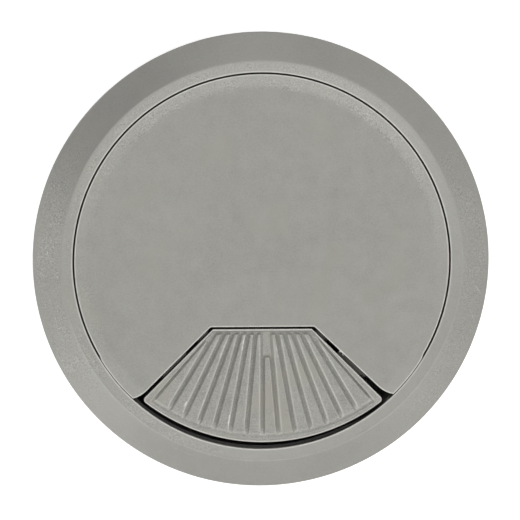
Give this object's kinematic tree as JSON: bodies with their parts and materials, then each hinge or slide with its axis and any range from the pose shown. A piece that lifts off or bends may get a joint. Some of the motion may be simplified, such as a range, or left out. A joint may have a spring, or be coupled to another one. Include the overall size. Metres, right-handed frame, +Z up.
{
  "type": "desk cable grommet",
  "caption": "Round desk cable grommet: flanged collar for a desk hole, lift-out lid, and a ribbed fan-shaped flap hinged in the lid and sprung shut.",
  "frame": {"origin": "centre of the collar on the desk surface, which is the underside of the flange", "axes": "+Z up out of the desk along the collar's axis, flap on the -Y side with its hinge axis along X, +X to the right with the flap nearest the viewer"},
  "size_m": [0.09, 0.09, 0.0246],
  "materials": {
    "collar_plastic": "satin metallic-grey moulded plastic with a fine spark-eroded grain",
    "lid_plastic": "satin metallic-grey moulded plastic, finest grain on the flat top",
    "flap_plastic": "satin metallic-grey moulded plastic, lightly scuffed ribs",
    "pin_steel": "bright drawn steel",
    "spring_steel": "drawn spring wire"
  },
  "bodies": {
    "collar": {"collar": "collar_plastic"},
    "lid": {"lid": "lid_plastic", "hinge_pin": "pin_steel", "return_spring": "spring_steel"},
    "flap": {"flap": "flap_plastic"}
  },
  "joints": [
    {"name": "lid_lift", "type": "slide", "parent": "collar", "child": "lid", "axis": [0, 0, 1], "range_m": [0, 0.035]},
    {"name": "flap_hinge", "type": "hinge", "parent": "lid", "child": "flap", "pos_m": [0, -0.01495, -0.0004], "axis": [1, 0, 0], "range_deg": [0, 80], "stiffness_Nm_per_rad": 0.005, "springref_deg": -34.38, "deforming": ["return_spring"]}
  ]
}
